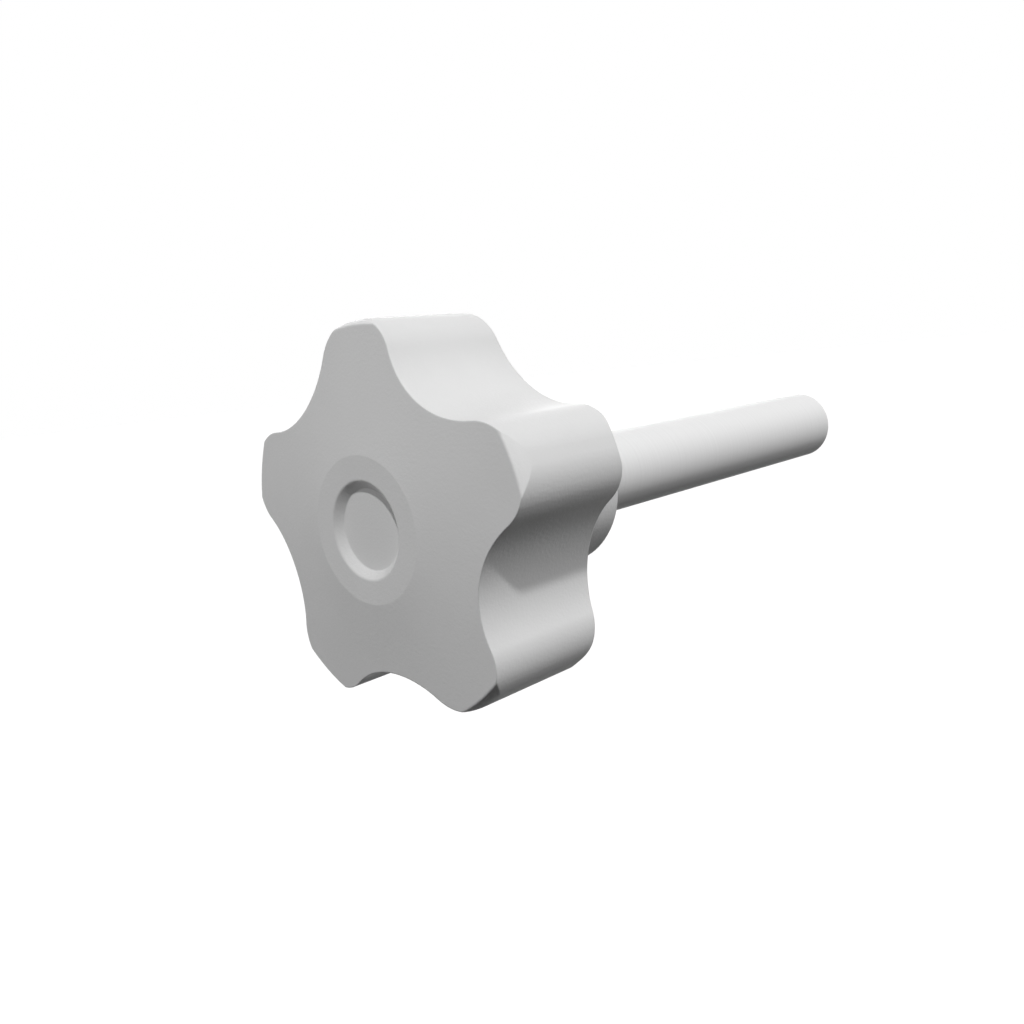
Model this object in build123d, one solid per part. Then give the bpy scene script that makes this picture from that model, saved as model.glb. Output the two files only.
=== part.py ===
from build123d import *

import math
import os

# Star knob with a steel stud. A five-lobed hand grip is moulded round the head of a
# plain steel stud, so the two turn as one.
#
# Frame: the stud points along +Y and the grip's face looks along -Y. One lobe stands
# straight up, along +Z. The origin is the centre of the hub's bearing face, where the
# stud leaves the grip. Everything is in millimetres.

# Grip, across its axis
knob_diameter = 40.0
valley_diameter = 28.9
lobe_count = 5
lobe_tip_half_angle = 1.7
lobe_corner_radius = 4.6
hub_diameter = 18.2

# Grip, along its axis
knob_height = 28.4
hub_length = 11.0
face_cone_angle = 8.0
back_cone_angle = 8.5

# Flat boss and round recess in the middle of the face
face_flat_diameter = 14.6
recess_diameter = 9.7
recess_depth = 0.8
recess_wall_angle = 45.0

# Rounded edges of the grip
face_rim_radius = 3.2
face_rim_width = 0.55
back_rim_radius = 0.6
hub_root_radius = 1.0
edge_break = 0.25

# Stud, and the part of it that the grip is moulded round
stud_diameter = 9.7
stud_length = 60.7
stud_end_chamfer = 0.4
stud_seat_depth = 0.15
buried_shank_diameter = 9.0
anchor_width_across_flats = 13.0
anchor_thickness = 7.0
anchor_depth = 12.0

# Sizes that follow from those above
knob_radius = knob_diameter / 2
valley_radius = valley_diameter / 2
hub_radius = hub_diameter / 2
stud_radius = stud_diameter / 2
lobe_pitch = 360.0 / lobe_count
face_flat_radius = face_flat_diameter / 2
recess_radius = recess_diameter / 2
face_y = -knob_height
hub_root_y = -hub_length


def polar(radius, degrees):
    """The point at this radius and angle in the plane across the knob's axis."""
    angle = math.radians(degrees)
    return Vector(radius * math.cos(angle), radius * math.sin(angle))


def valley_arc_radius():
    """The radius that makes a valley's arc touch its root circle and both lobe corners."""
    corner = polar(knob_radius - lobe_corner_radius, lobe_tip_half_angle)
    towards_valley = polar(1.0, lobe_pitch / 2)
    along = corner.dot(towards_valley)
    reach = corner.dot(corner) - 2 * valley_radius * along
    reach += valley_radius**2 - lobe_corner_radius**2
    return reach / (2 * (along - valley_radius + lobe_corner_radius))


def lobe_outline():
    """One closed outline: tip arc, corner arc, valley arc and corner arc, lobe by lobe."""
    valley_centre_radius = valley_radius + valley_arc_radius()
    corner_centre_radius = knob_radius - lobe_corner_radius
    edges = []
    for lobe in range(lobe_count):
        tip = 90.0 + lobe * lobe_pitch
        valley = tip + lobe_pitch / 2
        next_tip = tip + lobe_pitch
        tip_start = polar(knob_radius, tip - lobe_tip_half_angle)
        tip_end = polar(knob_radius, tip + lobe_tip_half_angle)
        next_tip_start = polar(knob_radius, next_tip - lobe_tip_half_angle)
        valley_centre = polar(valley_centre_radius, valley)
        corner_centre = polar(corner_centre_radius, tip + lobe_tip_half_angle)
        next_corner_centre = polar(corner_centre_radius, next_tip - lobe_tip_half_angle)
        valley_start = touching_point(corner_centre, valley_centre)
        valley_end = touching_point(next_corner_centre, valley_centre)
        edges.append(ThreePointArc(tip_start, polar(knob_radius, tip), tip_end))
        edges.append(corner_arc(tip_end, valley_start, corner_centre))
        edges.append(ThreePointArc(valley_start, polar(valley_radius, valley), valley_end))
        edges.append(corner_arc(valley_end, next_tip_start, next_corner_centre))
    return make_face(Wire(edges))


def touching_point(corner_centre, valley_centre):
    """Where a lobe's corner arc runs into the valley arc beside it."""
    direction = (valley_centre - corner_centre).normalized()
    return corner_centre + direction * lobe_corner_radius


def corner_arc(start, end, centre):
    """A lobe's corner, from start to end round its centre."""
    outward = ((start + end) / 2 - centre).normalized()
    return ThreePointArc(start, centre + outward * lobe_corner_radius, end)


def turned_section():
    """Half of the grip's section through its axis, with the radius along X."""
    recess_floor_y = face_y + recess_depth
    recess_floor_radius = recess_radius - recess_depth * math.tan(math.radians(recess_wall_angle))
    face_slope = math.tan(math.radians(face_cone_angle))
    back_slope = math.tan(math.radians(back_cone_angle))

    # the face falls back as a cone to the rim, where an arc carries it to the lobe tips
    rim_radius = knob_radius - face_rim_width
    rim_y = face_y + face_slope * (rim_radius - face_flat_radius)
    rim_centre_radius = knob_radius - face_rim_radius
    rim_run = math.sqrt(face_rim_radius**2 - (rim_radius - rim_centre_radius) ** 2)
    side_y = rim_y + rim_run
    middle = math.asin(rim_run / face_rim_radius) / 2
    rim_middle = (
        rim_centre_radius + face_rim_radius * math.cos(middle),
        side_y - face_rim_radius * math.sin(middle),
    )
    back_rim_y = hub_root_y - back_slope * (knob_radius - hub_radius)

    recess = Polyline(
        (0, recess_floor_y),
        (recess_floor_radius, recess_floor_y),
        (recess_radius, face_y),
        (face_flat_radius, face_y),
        (rim_radius, rim_y),
    )
    rim = ThreePointArc((rim_radius, rim_y), rim_middle, (knob_radius, side_y))
    back = Polyline(
        (knob_radius, side_y),
        (knob_radius, back_rim_y),
        (hub_radius, hub_root_y),
        (hub_radius, 0),
        (0, 0),
        (0, recess_floor_y),
    )
    section = make_face(Wire([*recess.edges(), *rim.edges(), *back.edges()]))
    rounded = {
        (recess_radius, face_y): edge_break,
        (rim_radius, rim_y): edge_break,
        (knob_radius, back_rim_y): back_rim_radius,
        (hub_radius, hub_root_y): hub_root_radius,
        (hub_radius, 0): edge_break,
    }
    for point, radius in rounded.items():
        corner = section.vertices().sort_by_distance((*point, 0))[0]
        section = fillet(corner, radius)
    return section


def steel_stud():
    """The stud: its full diameter, let a little into the hub, then the buried shank and anchor."""
    seat_plane = Plane.XZ.offset(stud_seat_depth)
    full = extrude(seat_plane * Circle(stud_radius), -(stud_seat_depth + stud_length))
    end_edge = full.edges().filter_by(GeomType.CIRCLE).sort_by(Axis.Y)[-1]
    full = chamfer(end_edge, stud_end_chamfer)
    shank = extrude(Plane.XZ * Circle(buried_shank_diameter / 2), anchor_depth)
    flats = RegularPolygon(anchor_width_across_flats / 2, 6, major_radius=False)
    anchor_plane = Plane.XZ.offset(anchor_depth)
    anchor = extrude(anchor_plane * flats, anchor_thickness)
    return full + shank + anchor


def knob_body(stud):
    """The grip: the turned blank trimmed to the lobed outline, moulded round the stud."""
    blank = revolve(turned_section(), Axis.Y)
    lobes = extrude(Plane.XZ * lobe_outline(), knob_height * 2, both=True)
    return (blank & lobes) - stud


stud = steel_stud()
knob = knob_body(stud)

os.makedirs("parts", exist_ok=True)
export_step(knob, "parts/knob_body.step")
export_step(stud, "parts/stud.step")
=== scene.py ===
# %% [markdown]
# # A star knob on a steel stud
#
# A star knob is a hand grip for a screw that is turned often and without a spanner: a clamp
# on a fixture, a stop on a guard, a height lock on a stand. Five lobes give the fingers a
# hold, and a plain steel stud carries the grip. The grip is one moulding and the stud is one
# turned bar, so there are two pieces, and neither moves on the other.
#
# Both shapes come from a CAD model at their real size. They could be modelled again here, but
# then there would be two versions of each size. So the lesson keeps the CAD meshes as they are
# and adds what CAD doesn't have: a camera, a studio and the finishes that a mould and a lathe
# leave.

import math

import bpy
from mathutils import Matrix, Quaternion, Vector


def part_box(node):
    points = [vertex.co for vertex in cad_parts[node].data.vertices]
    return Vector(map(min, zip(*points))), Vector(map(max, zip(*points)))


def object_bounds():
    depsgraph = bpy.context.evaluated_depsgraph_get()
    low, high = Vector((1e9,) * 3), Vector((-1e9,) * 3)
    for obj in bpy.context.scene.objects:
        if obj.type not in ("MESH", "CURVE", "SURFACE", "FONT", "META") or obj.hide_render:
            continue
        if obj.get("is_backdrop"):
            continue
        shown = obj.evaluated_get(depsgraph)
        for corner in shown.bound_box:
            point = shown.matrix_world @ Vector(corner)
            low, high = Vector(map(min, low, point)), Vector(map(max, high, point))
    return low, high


MM = 0.001  # the scene is in metres, and small sizes are easier to read in millimetres

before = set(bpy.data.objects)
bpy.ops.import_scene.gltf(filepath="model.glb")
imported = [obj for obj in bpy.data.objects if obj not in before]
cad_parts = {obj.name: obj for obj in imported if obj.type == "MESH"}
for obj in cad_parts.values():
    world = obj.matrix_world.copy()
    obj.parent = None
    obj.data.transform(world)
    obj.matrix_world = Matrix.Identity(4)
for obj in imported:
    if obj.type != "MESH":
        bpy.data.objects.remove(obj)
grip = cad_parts["knob_body"]
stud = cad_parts["stud"]
cad_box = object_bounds()
for piece in (grip, stud):
    low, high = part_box(piece.name)
    size = " x ".join(f"{length / MM:.1f}" for length in high - low)
    print(f"{piece.name}: {size} mm, {len(piece.data.polygons)} faces")

# %% [markdown]
# ## Where things are
#
# The stud points along +Y, the face of the grip looks along -Y, and one lobe stands straight
# up along +Z. The origin is the middle of the hub's end face, where the stud leaves the grip.
# The camera could aim at a point written down by hand. It aims from the middle of the box
# round both pieces instead, so that it still finds the knob when a length of it changes.

# %% Find the middle of the knob
lowest, highest = cad_box
knob_middle = (lowest + highest) / 2
print("middle of the knob:", [round(c / MM, 2) for c in knob_middle], "mm")

# %% [markdown]
# ## The camera
#
# The knob is seen from its face and from the side, a little from above, so that the face,
# three flanks and the whole stud show at once. It is a close view through a fairly wide lens,
# which makes the far end of the stud look smaller than the end at the hub. The camera also
# leans a few degrees, so the upright lobe tilts to the left of the picture.
#
# A Track To constraint would aim the camera, but it can't lean it. Here two angles give the
# direction, the lean turns right and up round that direction, and the three axes go into one
# matrix.

# %% Turn two angles and a lean into directions
UP = Vector((0.0, 0.0, 1.0))


def camera_turn(azimuth, elevation, lean):
    """The camera's right, up and forward directions, for angles in degrees."""
    turn, rise = math.radians(azimuth), math.radians(elevation)
    level = Vector((-math.sin(turn), math.cos(turn), 0.0))
    forward = level * math.cos(rise) - UP * math.sin(rise)
    right = forward.cross(UP).normalized()
    up = right.cross(forward)
    leaning = Quaternion(forward, math.radians(lean))
    return leaning @ right, leaning @ up, forward


straight_on = camera_turn(0.0, 0.0, 0.0)[2]
print("with all three at zero, the camera looks along", [round(c) for c in straight_on])

# %% Place the camera
VIEW_AZIMUTH = 43.38  # degrees round the knob, from in front of its face towards +X
VIEW_ELEVATION = 8.09  # degrees above level
VIEW_LEAN = 6.19  # degrees that the top of the camera leans to its right
VIEW_DISTANCE = 129.3 * MM  # from the point that it looks at
LOOKS_LEFT = 16.4 * MM  # how far left of the knob's middle it looks, to frame grip and stud
LOOKS_DOWN = 5.6 * MM  # and how far below it
LENS_LENGTH = 35.8  # this and the next are in mm on the camera itself, whatever the scene's unit
SENSOR_WIDTH = 36.0
NEAREST_SEEN = 10 * MM  # left alone, it would be 100 mm, and would cut the nearest lobe off

level_right, level_up, forward = camera_turn(VIEW_AZIMUTH, VIEW_ELEVATION, 0.0)
right, up, forward = camera_turn(VIEW_AZIMUTH, VIEW_ELEVATION, VIEW_LEAN)
aim = knob_middle - level_right * LOOKS_LEFT - level_up * LOOKS_DOWN

lens = bpy.data.cameras.new("camera")
lens.lens = LENS_LENGTH
lens.sensor_width = SENSOR_WIDTH
lens.clip_start = NEAREST_SEEN
camera = bpy.data.objects.new("camera", lens)
camera_axes = Matrix((right, up, -forward)).transposed().to_4x4()
camera.matrix_world = Matrix.Translation(aim - forward * VIEW_DISTANCE) @ camera_axes
bpy.context.scene.collection.objects.link(camera)
bpy.context.scene.camera = camera
print("camera at", [round(c / MM, 1) for c in camera.matrix_world.translation], "mm")

# %% [markdown]
# ## Node trees in a few words
#
# The room and every finish are node trees. They could be wired by hand in the editor. In a
# script the same wiring is easier to read if one helper adds a node and plugs in or sets what
# it is given, so that a node and all that goes into it are one statement.

# %% Add a node with its inputs
def add_node(tree, kind, inputs=None, **properties):
    """A new node. Each input gets a plain value, or the output socket that feeds it."""
    node = tree.nodes.new(f"ShaderNode{kind}")
    for name, value in properties.items():
        setattr(node, name, value)
    for name, value in (inputs or {}).items():
        if isinstance(value, bpy.types.NodeSocket):
            tree.links.new(value, node.inputs[name])
        else:
            node.inputs[name].default_value = value
    return node


print("a kind of node is what follows ShaderNode, as in", bpy.types.ShaderNodeMath.__name__)

# %% [markdown]
# ## The white room
#
# Small parts are usually shown in a white tent, which wraps them in soft light and leaves
# nothing behind them but white. A world of plain white would do that, but it lights a part
# equally from all sides, and its form is lost.
#
# So the room is two worlds in one. What is seen of it, straight or in a reflection, is plain
# white. What it gives as light is dim, a little more from the ceiling than from the floor, so
# that the lamps shape the part and its undersides stay dark. The Light Path node tells the two
# apart.

# %% Tell seeing from lighting
SHOWING_RAYS = ("Is Camera Ray", "Is Glossy Ray", "Is Transmission Ray")


def maths(tree, operation, first, second):
    """The number that one step of maths makes of two others."""
    return add_node(tree, "Math", {0: first, 1: second}, operation=operation).outputs[0]


def seen_ray(tree):
    """One for a ray that shows the room, straight, in a reflection or through glass, else zero."""
    path = add_node(tree, "LightPath")
    straight, mirrored, through_glass = (path.outputs[kind] for kind in SHOWING_RAYS)
    seen = maths(tree, "MAXIMUM", straight, mirrored)
    return maths(tree, "MAXIMUM", seen, through_glass)


print("the room is seen where one of these is 1:", ", ".join(SHOWING_RAYS))

# %% Start from an empty tree, and name a grey
def emptied(owner):
    """The node tree of a world or a material, with nothing left in it."""
    owner.use_nodes = True
    owner.node_tree.nodes.clear()
    return owner.node_tree


def grey(value):
    """A neutral grey, as a colour socket takes it."""
    return (value, value, value, 1.0)


print("a mid grey is", grey(0.5))

# %% Build the room
CEILING_LIGHT = 0.06
LEVEL_LIGHT = 0.04
UPWARD_LIGHT = 0.02
HALFWAY_UP = 0.5  # of the way from straight down to straight up, which is level

room = bpy.data.worlds.new("white_room")
tree = emptied(room)
direction = add_node(tree, "TexCoord")
rise = add_node(tree, "SeparateXYZ", {0: direction.outputs["Generated"]})
# the rise is -1 straight down and 1 straight up, and a ramp runs from 0 to 1
way_up = add_node(tree, "MapRange", {"Value": rise.outputs["Z"], "From Min": -1.0, "From Max": 1.0})
fade = add_node(tree, "ValToRGB", {"Fac": way_up.outputs["Result"]})
fade.color_ramp.elements.new(HALFWAY_UP)
for stop, light in zip(fade.color_ramp.elements, (UPWARD_LIGHT, LEVEL_LIGHT, CEILING_LIGHT)):
    stop.color = grey(light)
lights = add_node(tree, "Background", {"Color": fade.outputs["Color"]})
white = add_node(tree, "Background", {"Color": grey(1.0)})
both = add_node(tree, "MixShader", {0: seen_ray(tree), 1: lights.outputs[0], 2: white.outputs[0]})
add_node(tree, "OutputWorld", {"Surface": both.outputs[0]})
bpy.context.scene.world = room
bpy.context.scene.view_settings.view_transform = "Standard"
print(f"room: light of {CEILING_LIGHT} from above, {LEVEL_LIGHT} level, {UPWARD_LIGHT} from below")

# %% [markdown]
# ## The lamps
#
# Left and right are as one stands before the face. The key light comes from above, in front
# and from the right. It throws one lobe's shadow on the next and puts the dark crescent into
# the recess. The rim light comes from the right and a little behind, and lifts the flanks and
# the top of the stud. The fill comes from the front and left, so that the face isn't dull. The
# back light comes low from behind and the left: from the front it adds next to nothing, and it
# gives the hub and the far lobes a form of their own.
#
# Area lamps would do this too, but up close they are brighter on the grip than at the end of
# the stud. A Sun lamp with a width is a soft box far away: every part of the knob gets the
# same light, and the width sets how soft the edge of a shadow is.

# %% Set up the lamps
# for each lamp: where its light comes from, its strength, and its width in degrees
LAMPS = {
    "key_light": (Vector((0.47, -0.47, 0.75)), 2.15, 3.0),
    "rim_light": (Vector((0.74, 0.26, 0.62)), 1.60, 12.0),
    "fill_light": (Vector((-0.55, -0.80, 0.25)), 0.92, 45.0),
    "back_light": (Vector((-0.70, 0.70, 0.10)), 1.60, 45.0),
}

for name, (comes_from, strength, width) in LAMPS.items():
    sun = bpy.data.lights.new(name, "SUN")
    sun.energy = strength
    sun.angle = math.radians(width)
    lamp = bpy.data.objects.new(name, sun)
    lamp.rotation_mode = "QUATERNION"
    lamp.rotation_quaternion = comes_from.to_track_quat("Z", "Y")
    bpy.context.scene.collection.objects.link(lamp)
    print(f"{name}: strength {strength}, {width:.0f} degrees wide")

# %% [markdown]
# ## The floor
#
# In use the stud holds the knob up, and nothing lies on the ground, so the floor is well below
# it here too. One flat square is enough, far wider than the view.
#
# The paper on it is made as the room is. Where it is seen, it is pale and gives some light of
# its own: as much as makes it meet the white room without a line, and not so much that the
# knob's soft shadow is drowned. As a source of light it is dark, because light from below
# would fill the undersides.

# %% Mix the floor's paper
PAPER_GREY = 0.50
PAPER_OWN_LIGHT = 0.54
PAPER_BOUNCE = 0.03

paper = bpy.data.materials.new("floor_paper")
tree = emptied(paper)
pale = add_node(tree, "BsdfDiffuse", {"Color": grey(PAPER_GREY)})
glow = add_node(tree, "Emission", {"Strength": PAPER_OWN_LIGHT})
bright = add_node(tree, "AddShader", {0: pale.outputs[0], 1: glow.outputs[0]})
dark = add_node(tree, "BsdfDiffuse", {"Color": grey(PAPER_BOUNCE)})
both = add_node(tree, "MixShader", {0: seen_ray(tree), 1: dark.outputs[0], 2: bright.outputs[0]})
add_node(tree, "OutputMaterial", {"Surface": both.outputs[0]})
print(f"{paper.name}: seen as {PAPER_GREY} grey with a light of {PAPER_OWN_LIGHT} of its own")

# %% Lay the floor
FLOOR_BELOW = 300 * MM
FLOOR_REACH = 20.0
SQUARE = ((-1, -1), (1, -1), (1, 1), (-1, 1))

corners = [(x * FLOOR_REACH, y * FLOOR_REACH, 0.0) for x, y in SQUARE]
sheet = bpy.data.meshes.new("floor")
sheet.from_pydata(corners, [], [(0, 1, 2, 3)])
sheet.materials.append(paper)
floor = bpy.data.objects.new("floor", sheet)
floor.location.z = lowest.z - FLOOR_BELOW
bpy.context.scene.collection.objects.link(floor)
floor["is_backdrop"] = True
print(f"floor: {-floor.location.z / MM:.0f} mm below the stud's axis")

# %% [markdown]
# ## Edges that aren't knife sharp
#
# No mould or lathe makes a perfectly sharp edge. A radius of a tenth of a millimetre or two is
# always left, and it shows as a fine line of light. A Bevel modifier would cut it into the
# mesh, but it throws away the smooth normals that the CAD model sends with its faces, and the
# lobes come out streaky. The Bevel node rounds only the normals near an edge, inside the
# finish, and leaves the mesh alone.
#
# Both finishes start the same way, from the material that came with the piece. It is emptied
# and filled again, so its name stays the one that the piece list gives.

# %% Start a finish with rounded edges
EDGE_LOOKS = 8  # how many times each ray looks round for an edge


def start_finish(piece, edge_radius):
    """The piece's own material, emptied: its tree, the place on the piece, the rounded normal."""
    tree = emptied(piece.material_slots[0].material)
    place = add_node(tree, "TexCoord").outputs["Object"]
    edges = add_node(tree, "Bevel", {"Radius": edge_radius}, samples=EDGE_LOOKS)
    return tree, place, edges.outputs["Normal"]


for piece in (grip, stud):
    print(f"{piece.name} is finished in {piece.material_slots[0].name}")

# %% [markdown]
# ## A seam that isn't there on the real part
#
# The hub and the stud are turned, so each is one surface wrapped round the axis. In the mesh
# such a surface starts and ends at a seam, where the normals are off by half a facet, and the
# light draws a faint line there along the whole stud. No lathe leaves that line.
#
# New normals could be worked out by a modifier, but it would change the lobes as well, which
# are right as they are. What is wrong at the seam is only a lean of the normal round the axis,
# and nothing that was turned has such a lean. So the finish takes it out, as far out from the
# axis as all is turned.

# %% Take the sideways lean out of a normal
TURNED_REACH = 12.0 * MM  # the hub and the middle of the face are turned, and the lobes aren't
KNOB_AXIS = (0.0, 1.0, 0.0)
ACROSS_THE_AXIS = (1.0, 0.0, 1.0)
MAKE_A_NUMBER = ("LENGTH", "DOT_PRODUCT")


def vector_maths(tree, operation, *vectors):
    """What one step of vector maths makes: some steps make a number, the others a vector."""
    made = add_node(tree, "VectorMath", dict(enumerate(vectors)), operation=operation)
    return made.outputs["Value" if operation in MAKE_A_NUMBER else "Vector"]


def distance_out(tree, place):
    """How far a place is from the knob's axis."""
    return vector_maths(tree, "LENGTH", vector_maths(tree, "MULTIPLY", place, ACROSS_THE_AXIS))


def turned_normal(tree, place, normal):
    """The normal without its lean round the axis, out to the reach of what was turned."""
    round_axis = vector_maths(tree, "CROSS_PRODUCT", place, KNOB_AXIS)
    sideways = vector_maths(tree, "NORMALIZE", round_axis)
    turned = maths(tree, "LESS_THAN", distance_out(tree, place), TURNED_REACH)
    lean = maths(tree, "MULTIPLY", vector_maths(tree, "DOT_PRODUCT", normal, sideways), turned)
    straight = vector_maths(tree, "SUBTRACT", normal, vector_maths(tree, "MULTIPLY", sideways, lean))
    return vector_maths(tree, "NORMALIZE", straight)


print(f"no sideways lean out to {TURNED_REACH / MM:.0f} mm from the axis")

# %% [markdown]
# ## Nothing is quite even
#
# On a real part neither the shade nor the shine is the same all over. A colour ramp could
# spread a noise over a range, but it needs its stops set by hand. Map Range does it with two
# numbers, so a finish can be written as a middle value and how far it strays to either side.

# %% Let a number and a grey stray a little
def stray_ends(middle, stray):
    """The lowest and the highest value of what strays this far to both sides of its middle."""
    return middle - stray, middle + stray


def strayed(tree, factor, middle, stray):
    """A number that strays as the factor runs from zero to one."""
    low, high = stray_ends(middle, stray)
    spread = add_node(tree, "MapRange", {"Value": factor, "To Min": low, "To Max": high})
    return spread.outputs["Result"]


def strayed_grey(tree, factor, middle, stray):
    """A grey that strays in the same way."""
    shade = strayed(tree, factor, middle, stray)
    colour = add_node(tree, "CombineColor", {"Red": shade, "Green": shade, "Blue": shade})
    return colour.outputs["Color"]


print("a middle of 5 and a stray of 1 run between", stray_ends(5, 1))

# %% [markdown]
# ## The grip's moulded plastic
#
# The grip is moulded in a light grey plastic with no paint on it. Its mould is spark-eroded,
# which leaves an even grain of small pits. The grain scatters the light, so the grip looks
# matt, and it hides finger marks and the slow drift of shade where the plastic flowed.
#
# The grain could be an image, but an image needs UVs on the lobes and blurs close up. A noise
# texture in the piece's own millimetres has neither trouble: one fine noise sinks the pits
# and roughens them, and one coarse noise drifts the grey.

# %% Make the fine grain and the slow drift
GRAIN_SIZE = 0.30 * MM
GRAIN_DEPTH = 0.020 * MM
GRAIN_DETAIL = 2.0  # for each noise, how many finer layers are added to it
DRIFT_SIZE = 7.0 * MM
DRIFT_DETAIL = 3.0
MOULDED_EDGE = 0.20 * MM

tree, place, edge_normal = start_finish(grip, MOULDED_EDGE)
grain = add_node(
    tree, "TexNoise", {"Vector": place, "Scale": 1 / GRAIN_SIZE, "Detail": GRAIN_DETAIL}
)
drift = add_node(
    tree, "TexNoise", {"Vector": place, "Scale": 1 / DRIFT_SIZE, "Detail": DRIFT_DETAIL}
)
smooth_normal = turned_normal(tree, place, edge_normal)
pits = add_node(
    tree,
    "Bump",
    {"Height": grain.outputs["Fac"], "Distance": GRAIN_DEPTH, "Normal": smooth_normal},
)
print(f"grain of {GRAIN_SIZE / MM:.2f} mm, drift over {DRIFT_SIZE / MM:.0f} mm")

# %% [markdown]
# ## The plastic under the grain
#
# A plastic sends most of its light back from just under the skin, spread evenly, and a little
# as a reflection off the skin. A Diffuse shader has only the first, and the grip would look
# like chalk. The Principled shader has both. The reflection is kept small, because the pits
# break it up, and how rough it is strays with the grain, as the shade does with the drift.

# %% Mix the plastic
PLASTIC_GREY = 0.66
PLASTIC_DRIFT = 0.02
PLASTIC_ROUGHNESS = 0.55
PLASTIC_GRAIN_ROUGHNESS = 0.06
PLASTIC_SHINE = 0.15  # smooth plastic would have 0.5

plastic = add_node(
    tree,
    "BsdfPrincipled",
    {
        "Base Color": strayed_grey(tree, drift.outputs["Fac"], PLASTIC_GREY, PLASTIC_DRIFT),
        "Roughness": strayed(
            tree, grain.outputs["Fac"], PLASTIC_ROUGHNESS, PLASTIC_GRAIN_ROUGHNESS
        ),
        "Specular IOR Level": PLASTIC_SHINE,
        "Normal": pits.outputs["Normal"],
    },
)
add_node(tree, "OutputMaterial", {"Surface": plastic.outputs[0]})
print(f"{grip.material_slots[0].name}: grey {PLASTIC_GREY}, roughness {PLASTIC_ROUGHNESS}")

# %% [markdown]
# ## The stud's turned steel
#
# The stud is a bar turned on a lathe and then given a thin pale coat against rust. The tool
# leaves fine rings, round the side and, where it faces off the end, round the middle. The coat
# is nearly as matt as paint, so very little of the metal's shine is left, and the rings tell
# what is under it.
#
# A Wave texture makes rings too, but every ring the same, which looks printed. Here the
# distance that the tool has travelled, along the stud plus out from its axis, goes into a
# noise of one dimension. The same rings then run along the side and across the end, and no
# two of them are alike.

# %% Make the rings that the lathe leaves
RING_PITCH = 0.45 * MM
RING_DEPTH = 0.004 * MM
RING_DETAIL = 4.0
TURNED_EDGE = 0.10 * MM

tree, place, edge_normal = start_finish(stud, TURNED_EDGE)
along = add_node(tree, "SeparateXYZ", {0: place}).outputs["Y"]
travel = maths(tree, "ADD", along, distance_out(tree, place))
rings = add_node(
    tree,
    "TexNoise",
    {"W": travel, "Scale": 1 / RING_PITCH, "Detail": RING_DETAIL},
    noise_dimensions="1D",
)
smooth_normal = turned_normal(tree, place, edge_normal)
grooves = add_node(
    tree,
    "Bump",
    {"Height": rings.outputs["Fac"], "Distance": RING_DEPTH, "Normal": smooth_normal},
)
print(f"rings about {RING_PITCH / MM:.2f} mm apart, {RING_DEPTH / MM:.3f} mm deep")

# %% [markdown]
# ## The coat on the steel
#
# Bare metal shows little but what it reflects, so in this room a bare stud would be almost
# white, with no light and dark side. A coated one is pale and matt, much like the plastic. So
# the same shader is used, with a trace of metal let through, and both the shade and the
# roughness stray with the rings, because a coat lies thinner on their crests.

# %% Mix the coated steel
STEEL_GREY = 0.72
STEEL_RING_SHADE = 0.03
STEEL_ROUGHNESS = 0.50
STEEL_RING_ROUGHNESS = 0.08
STEEL_THROUGH_COAT = 0.03  # how much of the bare metal the coat lets show
COAT_SHINE = 0.05  # the coat is duller than the plastic

steel = add_node(
    tree,
    "BsdfPrincipled",
    {
        "Base Color": strayed_grey(tree, rings.outputs["Fac"], STEEL_GREY, STEEL_RING_SHADE),
        "Roughness": strayed(tree, rings.outputs["Fac"], STEEL_ROUGHNESS, STEEL_RING_ROUGHNESS),
        "Metallic": STEEL_THROUGH_COAT,
        "Specular IOR Level": COAT_SHINE,
        "Normal": grooves.outputs["Normal"],
    },
)
add_node(tree, "OutputMaterial", {"Surface": steel.outputs[0]})
print(f"{stud.material_slots[0].name}: grey {STEEL_GREY}, roughness {STEEL_ROUGHNESS}")

# %% [markdown]
# ## The size that the knob has now
#
# The finishes change how the knob looks and not how big it is. The box round the pieces is
# measured once more and set against the first one, and the furthest that a corner has moved
# is printed, to show that nothing has grown or moved.

# %% Measure the knob again
visual_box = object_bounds()
moved = max((now - before).length for now, before in zip(visual_box, cad_box))
print(f"the corners of the knob's box have moved by {moved / MM:.3f} mm")
